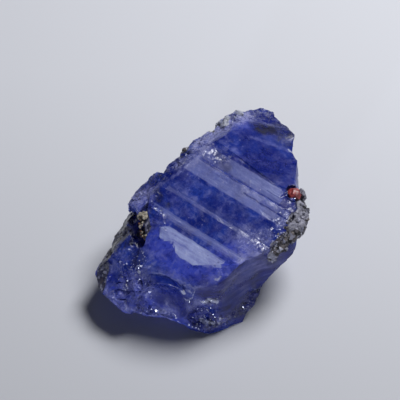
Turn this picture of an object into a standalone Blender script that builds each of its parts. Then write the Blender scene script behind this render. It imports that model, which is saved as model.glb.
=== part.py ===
"""A piece of rough tanzanite: one broken crystal with a striped natural face, a red grain and two crusts of rock.

The stone is drawn in millimetres: X runs along its length towards the narrow upper end, Y towards its back, Z up
from the surface that it lies on. Every mesh is brought to metres at the end.
"""

import math

import bmesh
import bpy
from mathutils import Matrix, Vector, noise

MM = 0.001
ROOM = 30.0  # a starting block's side, larger than the stone
GAP = 0.3  # between the stone and the grain and crusts that sit on it
FACET = 0.85  # the largest step between cuts along each axis
MERGE = 0.03  # corners closer than this become one

# Each natural face is a plane: its name, the compass heading that it faces (degrees from +X towards +Y), its tilt
# (0 faces up, 90 is a wall, 180 faces down) and a point on it.
TOP_HEADING = -150
TOP_TILT = 9.3
TOP_POINT = (-0.35, -0.78, 6.58)

BODY_FACES = (
    ("striped top", TOP_HEADING, TOP_TILT, TOP_POINT),
    ("smooth upper end", -9, 21, (6.2, 1.0, 6.5)),
    ("upper end's dip", 6, 30, (8.1, 1.6, 6.0)),
    ("crumbled back edge", 64, 34, (5.7, 4.8, 6.3)),
    ("left back slope", 96, 33, (-1.3, 5.3, 6.35)),
    ("left lower slope", 168, 21.6, (-5.5, 1.3, 5.8)),
    ("lower slope", -142, 28, (-4.9, -2.8, 5.6)),
    ("grey side", -109, 75, (-3.45, -4.95, 3.85)),
    ("sparkling foot", -134, 77, (-6.1, -3.65, 3.4)),
    ("dark hollow side", -163, 70, (-7.35, -1.05, 3.9)),
    ("seat of the right crust", -76, 60, (1.9, -5.35, 6.4)),
    ("seat of the crust's end", -50, 75, (4.5, -4.3, 5.6)),
    ("right wall", -44, 94, (7.7, -1.8, 5.0)),
    ("right wall below", -44, 112, (7.8, -1.9, 3.6)),
    ("tip right", -30, 98, (10.5, 0.05, 4.8)),
    ("tip end", 5, 98, (11.0, 3.0, 4.6)),
    ("tip back", 62, 96, (9.6, 5.3, 4.9)),
    ("back wall", 96, 98, (6.6, 5.8, 5.0)),
    ("long back wall", 82, 97, (1.0, 6.1, 5.2)),
    ("left wall", 127, 66, (-5.35, 3.7, 5.1)),
    ("under tip", 5, 155, (3.0, 0.0, 0.0)),
    ("under back", 88, 133, (0.0, 2.6, 0.0)),
    ("under left", 165, 152, (-5.3, 0.0, 0.0)),
    ("under right", -45, 133, (0.55, -1.15, 0.0)),
    ("resting spot", 0, 180, (0.0, 0.0, 0.0)),
)

FOOT_FACES = (
    ("lump top", 178, 42, (-8.1, 1.4, 4.4)),
    ("lump left", 158, 44, (-8.9, 3.4, 3.8)),
    ("lump end", 176, 110, (-10.3, 2.5, 2.6)),
    ("lump corner", 142, 112, (-10.1, 4.8, 3.0)),
    ("lump back", 102, 96, (-7.0, 5.6, 3.4)),
    ("left rim", 108, 52, (-5.7, 5.4, 3.9)),
    ("lump front", -140, 98, (-8.95, -0.2, 1.8)),
    ("lump front low", -120, 125, (-8.1, -1.6, 1.2)),
    ("lump under", 178, 160, (-6.0, 1.0, 0.2)),
    ("lump under back", 112, 130, (-6.0, 4.7, 0.9)),
    ("lump inside", 0, 90, (-3.5, 0.0, 3.0)),
    ("lump side", -100, 78, (-7.0, -2.4, 3.0)),
    ("lump cap", 168, 21.6, (-5.5, 1.3, 5.6)),
    ("lump cap right", -142, 28, (-4.9, -2.8, 5.3)),
    ("lump cap upper", TOP_HEADING, TOP_TILT, (-0.35, -0.78, 6.3)),
    ("resting spot", 0, 180, (0.0, 0.0, 0.0)),
)

LOBE_FACES = (
    ("lobe top", 110, 22, (-3.2, 5.6, 5.85)),
    ("lobe left", 172, 82, (-4.1, 6.0, 5.4)),
    ("lobe back", 88, 96, (-3.0, 6.2, 5.4)),
    ("lobe under", 130, 150, (-3.2, 5.6, 4.1)),
    ("lobe front", -120, 70, (-4.0, 4.9, 5.9)),
    ("lobe inside", 0, 90, (-0.5, 5.0, 5.0)),
    ("lobe inner side", -90, 95, (-2.0, 3.6, 5.0)),
    ("lobe cap", TOP_HEADING, TOP_TILT, (-0.35, -0.78, 6.3)),
)

# Shell-shaped hollows broken out of a face: a point on the face, the face's heading and tilt, the radius of the
# hollow's ball and its depth.
SCOOPS = (
    ("upper end", (7.4, 0.6, 6.1), -9, 21, 12.0, 0.45),
    ("tip", (9.3, 3.0, 5.35), 6, 30, 4.0, 0.25),
    ("grey side", (-2.6, -5.1, 3.7), -109, 75, 9.0, 0.30),
    ("dark hollow", (-7.8, -1.5, 2.9), -163, 70, 3.2, 0.65),
    ("lump upper dimple", (-8.1, 1.2, 4.4), 178, 42, 2.2, 0.22),
    ("lump lower dimple", (-9.3, 1.6, 3.1), 178, 42, 2.6, 0.24),
    ("lump left dimple", (-8.9, 3.6, 3.5), 158, 44, 2.8, 0.22),
    ("lower slope", (-6.1, 0.9, 5.6), 168, 21.6, 7.0, 0.20),
    ("foot", (-6.6, -3.6, 1.9), -134, 77, 2.4, 0.28),
    ("under the lump", (-9.0, 1.5, 1.2), 178, 155, 3.5, 0.50),
    ("under the tip", (6.0, 1.0, 1.8), 5, 150, 6.0, 0.50),
    ("under the back", (1.0, 4.4, 2.0), 88, 133, 5.0, 0.50),
    ("under the right", (3.4, -4.2, 2.4), -45, 133, 5.0, 0.40),
)
RECESS_CENTRE = (-5.1, 4.3, 5.2)
RECESS_RADII = (2.1, 0.62, 1.7)
RECESS_HEADING = 53

# The striped face from its lower end up: each band's width along the stone and the slope of its facet. Pale bands
# fall towards the upper end and blue ones rise.
STRIPE_TURN = 5.3  # the stripes' normal, degrees from +X towards +Y
STRIPE_START = -5.39
STRIPES = (
    ("lowest pale band", 1.54, -0.10),
    ("narrow blue band", 0.43, 0.16),
    ("thin pale band", 0.59, -0.10),
    ("lower blue band", 1.54, 0.09),
    ("pale line", 0.35, -0.12),
    ("broad blue band", 1.91, 0.09),
    ("broad pale band", 1.42, -0.10),
    ("ledge", 0.10, -0.70),
    ("upper pale band", 1.35, -0.06),
)

# Where the surface is broken rather than smooth: centre, reach and depth of the chips there.
SMOOTH_DEPTH = 0.012
CHIP_SIZE = 1.4
CHIP_SEED = 3.0
CHIP_LEAN = 1.4  # how much a chip's plane leans
CHIP_STEP = 0.5  # how far it stands in or out as a whole
CHIP_WEIGHT = 1.4
SWELL_SIZE = 0.6  # the size of the soft swells under the chips
SWELL_WEIGHT = 0.5
CHIPS_START = 0.8  # height over which the chips set in above the resting spot
ROUGH_SPOTS = (
    ("back rim", (6.4, 5.2, 5.8), 2.6, 0.30),
    ("back rim lower", (2.6, 5.8, 6.0), 1.8, 0.18),
    ("left back rim", (-1.2, 6.0, 6.0), 1.8, 0.20),
    ("left lobe", (-3.6, 6.0, 5.6), 1.6, 0.18),
    ("left rim", (-7.0, 5.4, 4.0), 2.2, 0.26),
    ("foot lump", (-9.4, 2.0, 3.2), 2.8, 0.30),
    ("foot lump front", (-8.8, -0.6, 2.4), 1.8, 0.26),
    ("sparkling foot", (-6.4, -4.2, 1.6), 2.4, 0.34),
    ("ridge", (-6.4, -2.0, 5.2), 1.6, 0.16),
    ("under edge", (-2.6, -5.9, 1.6), 1.8, 0.26),
    ("tip crest", (10.3, 3.6, 4.9), 1.6, 0.22),
    ("right edge", (8.6, -0.9, 5.0), 1.6, 0.12),
    ("back", (1.0, 5.6, 3.6), 3.2, 0.26),
    ("back of the tip", (7.0, 4.8, 3.6), 2.6, 0.24),
    ("under the tip", (7.0, 1.5, 2.6), 2.6, 0.20),
    ("back of the lump", (-7.5, 5.0, 2.2), 2.2, 0.26),
    ("under the right edge", (4.0, -3.6, 2.8), 2.6, 0.22),
)

GRAIN_CENTRE = (4.5, -3.75, 6.45)
GRAIN_RADIUS = 0.55
GRAIN_CLEAVE = 0.86  # where its faces cut, as a share of its radius
GRAIN_SEAT_RADIUS = GRAIN_RADIUS + GAP

# Lumps of host rock that run together into each crust: centre and radii.
RIGHT_CRUST = (
    ((4.6, -4.35, 5.25), (0.65, 0.6, 0.8)),
    ((4.05, -4.7, 5.65), (0.8, 0.75, 0.8)),
    ((3.6, -5.2, 5.4), (1.0, 0.8, 0.95)),
    ((3.3, -5.1, 6.1), (0.8, 0.6, 0.6)),
    ((2.8, -5.65, 5.4), (1.0, 0.75, 0.9)),
    ((2.1, -5.45, 6.1), (0.8, 0.6, 0.55)),
    ((1.8, -5.75, 5.5), (1.0, 0.65, 0.85)),
    ((0.8, -5.75, 5.6), (0.85, 0.6, 0.75)),
    ((-0.1, -5.75, 5.4), (0.65, 0.5, 0.6)),
)
LEFT_CRUST = (
    ((-4.35, 4.15, 5.7), (0.55, 0.6, 0.7)),
    ((-4.85, 3.75, 5.4), (0.55, 0.6, 0.75)),
    ((-5.2, 3.4, 5.3), (0.45, 0.5, 0.6)),
    ((-5.6, 2.95, 5.3), (0.4, 0.45, 0.5)),
)
CRUST_GRAIN = 0.55  # the size of the crusts' lumps
CRUST_DEPTH = 0.10
CRUST_SEED = 7.0
SEAT_BEND = 0.7  # an edge sharper than this, in radians, belongs to the side that lies on the stone

SURFACES = {
    "tanzanite": ((0.05, 0.07, 0.42, 1.0), 0.18),
    "red_crystal": ((0.30, 0.05, 0.04, 1.0), 0.25),
    "matrix_right": ((0.42, 0.40, 0.40, 1.0), 0.75),
    "matrix_left": ((0.45, 0.36, 0.26, 1.0), 0.80),
}


def face_normal(heading, tilt):
    """The direction that a face looks in."""
    turn = math.radians(heading)
    lean = math.radians(tilt)
    return Vector((math.sin(lean) * math.cos(turn), math.sin(lean) * math.sin(turn), math.cos(lean)))


def bisect(bm, point, normal, clear=False):
    """Cuts every face along a plane and gives the new edges and corners."""
    everything = bm.verts[:] + bm.edges[:] + bm.faces[:]
    return bmesh.ops.bisect_plane(
        bm, geom=everything, dist=1e-5, plane_co=point, plane_no=normal, clear_outer=clear
    )["geom_cut"]


def cut_block(faces, grow=0.0):
    """A block cleaved by each face in turn; grow moves every face outwards."""
    bm = bmesh.new()
    bmesh.ops.create_cube(bm, size=ROOM, matrix=Matrix.Translation((0, 0, ROOM / 4)))
    for _, heading, tilt, point in faces:
        normal = face_normal(heading, tilt)
        cut = bisect(bm, Vector(point) + normal * grow, normal, clear=True)
        rim = [item for item in cut if isinstance(item, bmesh.types.BMEdge)]
        if rim:
            bmesh.ops.holes_fill(bm, edges=rim, sides=0)
    bmesh.ops.recalc_face_normals(bm, faces=bm.faces[:])
    return bm


def ellipsoid(centre, radii, heading=0.0, steps=3):
    """A rounded cutter or lump, turned about Z."""
    bm = bmesh.new()
    turn = Matrix.Rotation(math.radians(heading), 4, "Z")
    place = Matrix.Translation(centre) @ turn @ Matrix.Diagonal((*radii, 1.0))
    bmesh.ops.create_icosphere(bm, subdivisions=steps, radius=1.0, matrix=place)
    return bm


def scoop(point, heading, tilt, radius, depth):
    """The ball whose surface dips into a face by the depth."""
    centre = Vector(point) + face_normal(heading, tilt) * (radius - depth)
    return ellipsoid(centre, (radius, radius, radius), heading)


def new_object(name, bm, collection):
    mesh = bpy.data.meshes.new(name)
    bm.to_mesh(mesh)
    bm.free()
    piece = bpy.data.objects.new(name, mesh)
    collection.objects.link(piece)
    return piece


def combine(target, tool_mesh, operation):
    """Joins or cuts the target with a tool made for it."""
    tool = new_object("tool", tool_mesh, target.users_collection[0])
    modifier = target.modifiers.new(operation, "BOOLEAN")
    modifier.operation = operation
    modifier.object = tool
    bpy.context.view_layer.update()
    depsgraph = bpy.context.evaluated_depsgraph_get()
    mesh = bpy.data.meshes.new_from_object(target.evaluated_get(depsgraph))
    target.modifiers.clear()
    target.data = mesh
    bpy.data.objects.remove(tool)
    bpy.context.view_layer.update()


def smooth_step(low, high, value):
    x = min(max((value - low) / (high - low), 0.0), 1.0)
    return x * x * (3.0 - 2.0 * x)


def stripe_normal():
    turn = math.radians(STRIPE_TURN)
    return Vector((math.cos(turn), math.sin(turn), 0.0))


def stripe_edges():
    """Where each band begins along the stone, and its height there."""
    edges = [(STRIPE_START, 0.0)]
    for _, width, slope in STRIPES:
        along, height = edges[-1]
        edges.append((along + width, height + width * slope))
    return edges


def terrace(along):
    """The height of the striped face's facets over its plane."""
    edges = stripe_edges()
    if along <= edges[0][0]:
        return 0.0
    for (start, low), (end, high) in zip(edges, edges[1:]):
        if along <= end:
            return low + (high - low) * (along - start) / (end - start)
    return edges[-1][1]


def chips(point, size, seed):
    """Flat chips with sharp edges between them: the height of one seeded plane in each cell."""
    place = point / size + Vector((seed, seed, seed))
    _, cells = noise.voronoi(place)
    middle = cells[0]
    lean = Vector((noise.noise(middle * 3.7), noise.noise(middle * 4.9), noise.noise(middle * 6.1)))
    return CHIP_LEAN * lean.dot(place - middle) + CHIP_STEP * noise.noise(middle * 5.3)


def roughness(point):
    """The depth of the chips at a point."""
    depth = SMOOTH_DEPTH
    for _, centre, reach, spot_depth in ROUGH_SPOTS:
        near = 1.0 - smooth_step(reach * 0.45, reach, (point - Vector(centre)).length)
        depth = max(depth, spot_depth * near)
    return depth


def drop_fins(bm):
    """Removes thin leftover faces that hang from the surface by one side."""
    fins = {face for edge in bm.edges if edge.is_boundary for face in edge.link_faces}
    while fins:
        bmesh.ops.delete(bm, geom=list(fins), context="FACES")
        fins = {face for edge in bm.edges if edge.is_boundary for face in edge.link_faces}


def even_cuts(bm, size):
    """Cuts the faces along every axis, so that none is larger than the size."""
    for axis in range(3):
        normal = Vector((0.0, 0.0, 0.0))
        normal[axis] = 1.0
        values = [vert.co[axis] for vert in bm.verts]
        low = min(values)
        reach = max(values) - low
        count = int(reach / size)
        for step in range(1, count + 1):
            bisect(bm, normal * (low + reach * step / (count + 1)), normal)
    bmesh.ops.triangulate(bm, faces=bm.faces[:], quad_method="BEAUTY", ngon_method="BEAUTY")
    bmesh.ops.remove_doubles(bm, verts=bm.verts[:], dist=MERGE)
    drop_fins(bm)
    bm.normal_update()


def carve_surface(bm):
    """Gives the stone its striped facets, and chips where it is broken."""
    along = stripe_normal()
    for start, _ in stripe_edges():
        bisect(bm, along * start, along)
    even_cuts(bm, FACET)
    top = face_normal(TOP_HEADING, TOP_TILT)
    striped = set()
    for face in bm.faces:
        offset = (face.calc_center_median() - Vector(TOP_POINT)).dot(top)
        if face.normal.dot(top) > 0.9998 and abs(offset) < 0.02:
            striped.update(face.verts)
    moves = {}
    for vert in bm.verts:
        point = vert.co
        depth = roughness(point) * smooth_step(0.0, CHIPS_START, point.z)
        swell = SWELL_WEIGHT * noise.noise(point / SWELL_SIZE)
        move = vert.normal * depth * (CHIP_WEIGHT * chips(point, CHIP_SIZE, CHIP_SEED) + swell)
        if vert in striped:
            move += top * terrace(point.dot(along))
        moves[vert] = move
    for vert, move in moves.items():
        vert.co += move


def make_stone(collection):
    stone = new_object("tanzanite", cut_block(BODY_FACES), collection)
    combine(stone, cut_block(FOOT_FACES), "UNION")
    combine(stone, cut_block(LOBE_FACES), "UNION")
    for _, point, heading, tilt, radius, depth in SCOOPS:
        combine(stone, scoop(point, heading, tilt, radius, depth), "DIFFERENCE")
    combine(stone, ellipsoid(RECESS_CENTRE, RECESS_RADII, RECESS_HEADING), "DIFFERENCE")
    seat = (GRAIN_SEAT_RADIUS, GRAIN_SEAT_RADIUS, GRAIN_SEAT_RADIUS)
    combine(stone, ellipsoid(GRAIN_CENTRE, seat, steps=2), "DIFFERENCE")
    surface = bmesh.new()
    surface.from_mesh(stone.data)
    carve_surface(surface)
    surface.to_mesh(stone.data)
    surface.free()
    return stone


def make_grain(collection):
    """A garnet-like grain: a ball cleaved by the twelve faces of a rhombic dodecahedron."""
    bm = bmesh.new()
    bmesh.ops.create_icosphere(bm, subdivisions=2, radius=GRAIN_RADIUS)
    for first in (-1, 1):
        for second in (-1, 1):
            for normal in ((first, second, 0), (first, 0, second), (0, first, second)):
                facing = Vector(normal).normalized()
                cut = bisect(bm, facing * GRAIN_RADIUS * GRAIN_CLEAVE, facing, clear=True)
                rim = [item for item in cut if isinstance(item, bmesh.types.BMEdge)]
                bmesh.ops.holes_fill(bm, edges=rim, sides=0)
    bmesh.ops.recalc_face_normals(bm, faces=bm.faces[:])
    turn = Matrix.Rotation(0.4, 4, "X") @ Matrix.Rotation(0.5, 4, "Z")
    bmesh.ops.transform(bm, matrix=Matrix.Translation(GRAIN_CENTRE) @ turn, verts=bm.verts[:])
    return new_object("red_crystal", bm, collection)


def make_crust(name, lumps, collection):
    """Lumps of host rock run together, hollowed where the stone lies under them."""
    first, *others = lumps
    crust = new_object(name, ellipsoid(*first), collection)
    for centre, radii in others:
        combine(crust, ellipsoid(centre, radii), "UNION")
    for faces in (BODY_FACES, FOOT_FACES, LOBE_FACES):
        combine(crust, cut_block(faces, grow=GAP), "DIFFERENCE")
    surface = bmesh.new()
    surface.from_mesh(crust.data)
    bmesh.ops.triangulate(surface, faces=surface.faces[:])
    bmesh.ops.remove_doubles(surface, verts=surface.verts[:], dist=0.01)
    surface.normal_update()
    for vert in surface.verts:
        seated = any(edge.is_convex and edge.calc_face_angle(0.0) > SEAT_BEND for edge in vert.link_edges)
        if not seated:
            vert.co += vert.normal * CRUST_DEPTH * chips(vert.co, CRUST_GRAIN, CRUST_SEED)
    surface.to_mesh(crust.data)
    surface.free()
    return crust


def middle_of(pieces):
    """The middle of the whole object's box, on the surface that it stands on."""
    corners = [vert.co for piece in pieces for vert in piece.data.vertices]
    middle = Vector((0.0, 0.0, 0.0))
    for axis in range(2):
        values = [corner[axis] for corner in corners]
        middle[axis] = (min(values) + max(values)) / 2
    return middle


def finish(piece, middle):
    """Brings a piece to metres, over the origin, and gives it its colour."""
    piece.data.transform(Matrix.Scale(MM, 4) @ Matrix.Translation(-middle))
    colour, rough = SURFACES[piece.name]
    material = bpy.data.materials.new(piece.name)
    material.use_nodes = True
    shader = material.node_tree.nodes["Principled BSDF"]
    shader.inputs["Base Color"].default_value = colour
    shader.inputs["Roughness"].default_value = rough
    shader.inputs["Metallic"].default_value = 0.0
    piece.data.materials.clear()
    piece.data.materials.append(material)


for item in list(bpy.data.objects):
    bpy.data.objects.remove(item)
rough_tanzanite = bpy.data.collections.new("rough tanzanite")
bpy.context.scene.collection.children.link(rough_tanzanite)
make_stone(rough_tanzanite)
make_grain(rough_tanzanite)
make_crust("matrix_right", RIGHT_CRUST, rough_tanzanite)
make_crust("matrix_left", LEFT_CRUST, rough_tanzanite)
stone_middle = middle_of(rough_tanzanite.objects)
for piece in rough_tanzanite.objects:
    finish(piece, stone_middle)
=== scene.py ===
import math
import random

import bmesh
import bpy
import numpy as np
from mathutils import Matrix, Vector, noise
from mathutils.bvhtree import BVHTree


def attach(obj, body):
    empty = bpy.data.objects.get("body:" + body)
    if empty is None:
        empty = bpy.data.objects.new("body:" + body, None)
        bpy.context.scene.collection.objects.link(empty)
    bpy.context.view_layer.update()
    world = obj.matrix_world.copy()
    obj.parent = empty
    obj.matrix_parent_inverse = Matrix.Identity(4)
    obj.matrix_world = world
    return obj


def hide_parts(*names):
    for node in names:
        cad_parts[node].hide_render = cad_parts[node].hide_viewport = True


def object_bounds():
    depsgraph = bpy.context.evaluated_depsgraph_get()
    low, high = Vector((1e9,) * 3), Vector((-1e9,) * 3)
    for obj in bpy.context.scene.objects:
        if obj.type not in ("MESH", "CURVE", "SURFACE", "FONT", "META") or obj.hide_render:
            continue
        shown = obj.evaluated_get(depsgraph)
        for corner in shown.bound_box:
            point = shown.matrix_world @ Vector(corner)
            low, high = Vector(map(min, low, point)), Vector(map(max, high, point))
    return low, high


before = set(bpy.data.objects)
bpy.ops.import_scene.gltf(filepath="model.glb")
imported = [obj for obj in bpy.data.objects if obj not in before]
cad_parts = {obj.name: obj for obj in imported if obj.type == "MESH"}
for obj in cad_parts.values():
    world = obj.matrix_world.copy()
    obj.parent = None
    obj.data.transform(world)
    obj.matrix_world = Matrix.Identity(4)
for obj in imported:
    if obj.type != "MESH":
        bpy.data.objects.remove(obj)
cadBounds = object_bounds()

scene = bpy.context.scene
millimetre = 0.001  # shapes are made in millimetres and scaled down once they are done
boxLow = Vector(cadBounds[0]) / millimetre
boxHigh = Vector(cadBounds[1]) / millimetre
print("solids loaded:", sorted(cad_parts))


# helpers that place and join shader nodes
def fill(tree, node, values):
    # an input takes a link where it is given a socket, and a plain value otherwise
    for key, value in values.items():
        if isinstance(value, bpy.types.NodeSocket):
            tree.links.new(value, node.inputs[key])
        else:
            node.inputs[key].default_value = value


def addNode(tree, kind, inputs=None, **settings):
    made = tree.nodes.new("ShaderNode" + kind)
    for key, value in settings.items():
        setattr(made, key, value)
    fill(tree, made, inputs or {})
    return made


def calc(tree, operation, *values, clamp=False):
    made = addNode(tree, "Math", dict(enumerate(values)), operation=operation, use_clamp=clamp)
    return made.outputs[0]


def times(tree, *values):
    product = values[0]
    for value in values[1:]:
        product = calc(tree, "MULTIPLY", product, value)
    return product


def between(tree, value, low, high):
    return calc(tree, "COMPARE", value, (low + high) / 2, (high - low) / 2)


def vectorCalc(tree, operation, first, second):
    secondInput = "Scale" if operation == "SCALE" else 1
    made = addNode(tree, "VectorMath", {0: first, secondInput: second}, operation=operation)
    return made.outputs["Value" if operation == "DOT_PRODUCT" else "Vector"]


def blendColour(tree, factor, first, second):
    return addNode(tree, "Mix", {0: factor, 6: first, 7: second}, data_type="RGBA").outputs[2]


def rescale(tree, value, low, high, newLow=0.0, newHigh=1.0):
    inputs = {"Value": value, "From Min": low, "From Max": high, "To Min": newLow, "To Max": newHigh}
    return addNode(tree, "MapRange", inputs).outputs[0]


def noiseValue(tree, place, size, detail=3.0, rough=0.55, distort=0.0):
    inputs = {"Vector": place, "Scale": 1.0 / size, "Detail": detail, "Roughness": rough,
              "Distortion": distort}
    return addNode(tree, "TexNoise", inputs).outputs[0]


def toneRamp(tree, chance, tones):
    # bands of plain colour, each from its own share of the chance
    ramp = addNode(tree, "ValToRGB", {0: chance})
    ramp.color_ramp.interpolation = "CONSTANT"
    stops = ramp.color_ramp.elements
    stops.remove(stops[1])
    stops[0].color = (*tones[0][1], 1)
    for position, tone in tones[1:]:
        stops.new(position).color = (*tone, 1)
    return ramp.outputs[0]


def painted(tree, name):
    return addNode(tree, "Attribute", attribute_name=name).outputs["Fac"]


def addBump(tree, shader, height, strength):
    bump = addNode(tree, "Bump", {"Strength": strength, "Distance": millimetre, "Height": height})
    fill(tree, shader, {"Normal": bump.outputs[0]})


def newMaterial(name):
    material = bpy.data.materials.new(name)
    material.use_nodes = True
    tree = material.node_tree
    objectPlace = addNode(tree, "TexCoord").outputs["Object"]
    place = vectorCalc(tree, "SCALE", objectPlace, 1.0 / millimetre)
    return material, tree, tree.nodes["Principled BSDF"], place


def newGroup(name, inputs, outputs):
    group = bpy.data.node_groups.new(name, "ShaderNodeTree")
    for socketName, kind, value in inputs:
        made = group.interface.new_socket(name=socketName, in_out="INPUT", socket_type=kind)
        if value is not None:
            made.default_value = value
    for socketName in outputs:
        group.interface.new_socket(name=socketName, in_out="OUTPUT", socket_type="NodeSocketFloat")
    return group, group.nodes.new("NodeGroupInput").outputs, group.nodes.new("NodeGroupOutput")


def useGroup(tree, group, **inputs):
    return addNode(tree, "Group", inputs, node_tree=group).outputs


def buildBrokenFacets():
    # every cell leans its own way, so the bump catches the light like crushed crystal
    group, given, result = newGroup(
        "brokenFacets",
        [("Place", "NodeSocketVector", None), ("Size", "NodeSocketFloat", 0.5)], ["Height", "Chance"])
    wobble = addNode(group, "TexNoise", {"Vector": given["Place"], "Scale": 1.7, "Detail": 1.0})
    wobbleMove = vectorCalc(group, "SCALE", wobble.outputs["Color"], 0.25)
    bentPlace = vectorCalc(group, "ADD", given["Place"], wobbleMove)
    cellPlace = vectorCalc(group, "SCALE", bentPlace, calc(group, "DIVIDE", 1.0, given["Size"]))
    cells = addNode(group, "TexVoronoi", {"Vector": cellPlace, "Scale": 1.0}).outputs
    offCentre = vectorCalc(group, "SUBTRACT", cellPlace, cells["Position"])
    lean = vectorCalc(group, "SUBTRACT", cells["Color"], (0.5, 0.5, 0.5))
    chances = addNode(group, "SeparateColor", {0: cells["Color"]}).outputs
    fill(group, result, {"Height": vectorCalc(group, "DOT_PRODUCT", lean, offCentre), "Chance": chances[0]})
    return group


def buildSpeckle():
    # small dots that only some of the cells hold
    group, given, result = newGroup(
        "speckle",
        [("Place", "NodeSocketVector", None), ("Size", "NodeSocketFloat", 0.5),
         ("Share", "NodeSocketFloat", 0.2), ("Reach", "NodeSocketFloat", 0.3)], ["Mask", "Chance"])
    cellPlace = vectorCalc(group, "SCALE", given["Place"], calc(group, "DIVIDE", 1.0, given["Size"]))
    cells = addNode(group, "TexVoronoi", {"Vector": cellPlace, "Scale": 1.0}).outputs
    chances = addNode(group, "SeparateColor", {0: cells["Color"]}).outputs
    chosen = calc(group, "LESS_THAN", chances[1], given["Share"])
    dot = calc(group, "MULTIPLY", calc(group, "SUBTRACT", given["Reach"], cells["Distance"]), 8.0, clamp=True)
    fill(group, result, {"Mask": calc(group, "MULTIPLY", chosen, dot), "Chance": chances[0]})
    return group


brokenFacets = buildBrokenFacets()
speckle = buildSpeckle()

grainPlace = Vector((4.12, -3.73, 6.45))  # the red grain's middle
stoneShape = {
    "cuts": 3,  # each edge of the solid gets this many points more
    "seatReach": 0.74, "seatRadius": 0.42,  # the hollow round the red grain closes on it
    "calmRounds": 12, "calmAngle": 0.7, "calmCrease": 0.45, "smoothRounds": 4,
    "creaseReach": 0.5, "creaseAngle": 0.2, "sharpAngle": 0.45,  # angles in radians
    "chips": ((0.15, 0.62, 11.0), (0.07, 0.3, 23.0)),  # depth, size and seed
    "stripedChips": 0.35,  # the share of their depth which the striped face keeps
    "wrinkle": 0.05, "lowWrinkle": 0.1, "wrinkleTop": 2.9, "wrinkleFade": 1.4,
    "swell": 0.012, "outward": 0.05,  # the most that relief may stand out
    "floorFade": 0.3,  # relief fades out this far above the flat spot
    "underBroken": 0.6,  # how crushed the underside is
}

# the striped face, in its own two directions: up the stone and along the stripes
stripeTurn = math.radians(5.3)
upStone = Vector((math.cos(stripeTurn), math.sin(stripeTurn), 0.0))
alongStripe = Vector((math.sin(stripeTurn), -math.cos(stripeTurn), 0.0))
stripedFace = {
    "point": Vector((-0.733, -0.758, 6.58)), "normal": Vector((-0.14, -0.081, 0.987)).normalized(),
    "depth": 0.42, "grainGap": 1.05,  # it ends this far from its plane, and from the grain
    "facing": 0.97, "from": -5.9, "to": 4.4,
    "stepFacing": 0.8, "stepFrom": -4.2, "stepTo": 3.4,  # its low steps turn further away
}
duskySide = {
    "turn": math.radians(-109), "level": 0.966, "upward": 0.259,  # the way it faces
    "facing": 0.72, "facingFade": 0.18, "edge": -2.6, "edgeFade": 0.8,
}

# small shifts of the surface: a place, how far the shift reaches and its move
shifts = [
    ((9.1, 1.0, 5.1), 2.4, (0.42, -0.5, 0.0)), ((7.0, 5.1, 5.7), 2.0, (0.2, 0.26, 0.24)),
    ((-0.3, 5.8, 6.1), 2.1, (0.05, 0.38, 0.2)), ((-1.0, -6.2, 2.7), 2.8, (-0.36, 0.42, 0.0)),
    ((-3.4, -5.9, 1.2), 2.0, (-0.14, 0.28, 0.05)), ((-5.9, 3.4, 3.9), 1.4, (0.0, 0.0, 1.1)),
    ((-5.0, 4.7, 3.6), 1.5, (-0.1, 0.1, 0.9)), ((-7.45, 5.9, 3.4), 0.9, (0.05, -0.5, 0.0)),
    ((-5.5, -5.5, 0.0), 2.1, (0.34, 0.29, 0.0)), ((-8.4, -2.4, 1.0), 1.4, (0.27, 0.22, 0.0)),
    ((-10.4, 4.3, 2.4), 1.5, (0.2, -0.22, 0.0)), ((-4.5, 6.1, 4.9), 0.9, (0.08, -0.1, 0.0)),
    ((-0.9, 6.2, 6.0), 0.8, (0.1, -0.34, -0.1)), ((4.5, 5.8, 6.1), 1.1, (0.04, -0.3, -0.06)),
]
# the crease between the striped face and the smooth broken one stays crisp
crispEdge = [(4.6, 3.6, 7.1), (4.0, 1.2, 7.15), (3.8, -0.8, 7.05), (4.0, -2.6, 6.85)]
# places on the smooth broken faces that are evened out
calmSpots = [
    ([(8.1, 3.1, 5.7), (8.5, 1.2, 5.3)], 1.8, 1.0),
    ([(6.2, 2.2, 6.4), (5.6, -1.0, 6.5), (7.4, 0.3, 5.8)], 2.2, 1.0),
    ([(-7.9, -0.6, 4.0), (-7.5, -1.8, 3.4), (-8.1, -0.4, 3.0)], 1.4, 1.0), ([(9.4, 3.0, 5.0)], 1.4, 1.0),
]
# each zone is a line along the surface, how far it reaches and how strong it is
backRim = [(10.3, 3.7, 4.7), (9.4, 4.4, 5.0), (8.1, 4.9, 5.4), (6.7, 5.0, 5.9), (5.1, 5.3, 6.0),
           (3.1, 5.2, 6.6), (2.0, 5.6, 6.5), (0.7, 5.4, 6.5), (-1.3, 5.9, 6.2), (-2.6, 6.1, 5.9),
           (-3.6, 6.2, 5.6)]
leftRim = [(-4.9, 5.9, 4.1), (-6.0, 5.5, 4.0), (-6.8, 5.3, 4.0), (-7.5, 5.2, 3.8), (-8.1, 5.1, 3.6)]
footRim = [(-8.1, 5.1, 3.6), (-8.9, 4.7, 3.4), (-9.9, 4.3, 2.8), (-10.3, 4.0, 2.4)]
footEdge = [(-10.2, 4.3, 2.6), (-10.4, 2.5, 2.4), (-10.2, 1.0, 2.3), (-9.4, 0.1, 1.8), (-8.2, -1.2, 1.2)]
ridge = [(-8.2, 1.7, 4.5), (-7.6, 1.0, 5.1), (-7.4, 0.0, 5.3), (-7.1, -1.0, 5.4), (-7.0, -1.9, 5.0),
         (-6.9, -2.6, 4.7), (-6.7, -2.9, 5.0), (-5.3, -3.7, 5.3), (-3.4, -4.4, 5.7), (-1.4, -5.0, 6.1)]
hollowRidge = [(-8.1, 4.1, 4.5), (-7.7, 3.7, 4.8), (-7.3, 3.4, 5.0), (-6.6, 3.3, 5.3)]
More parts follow.
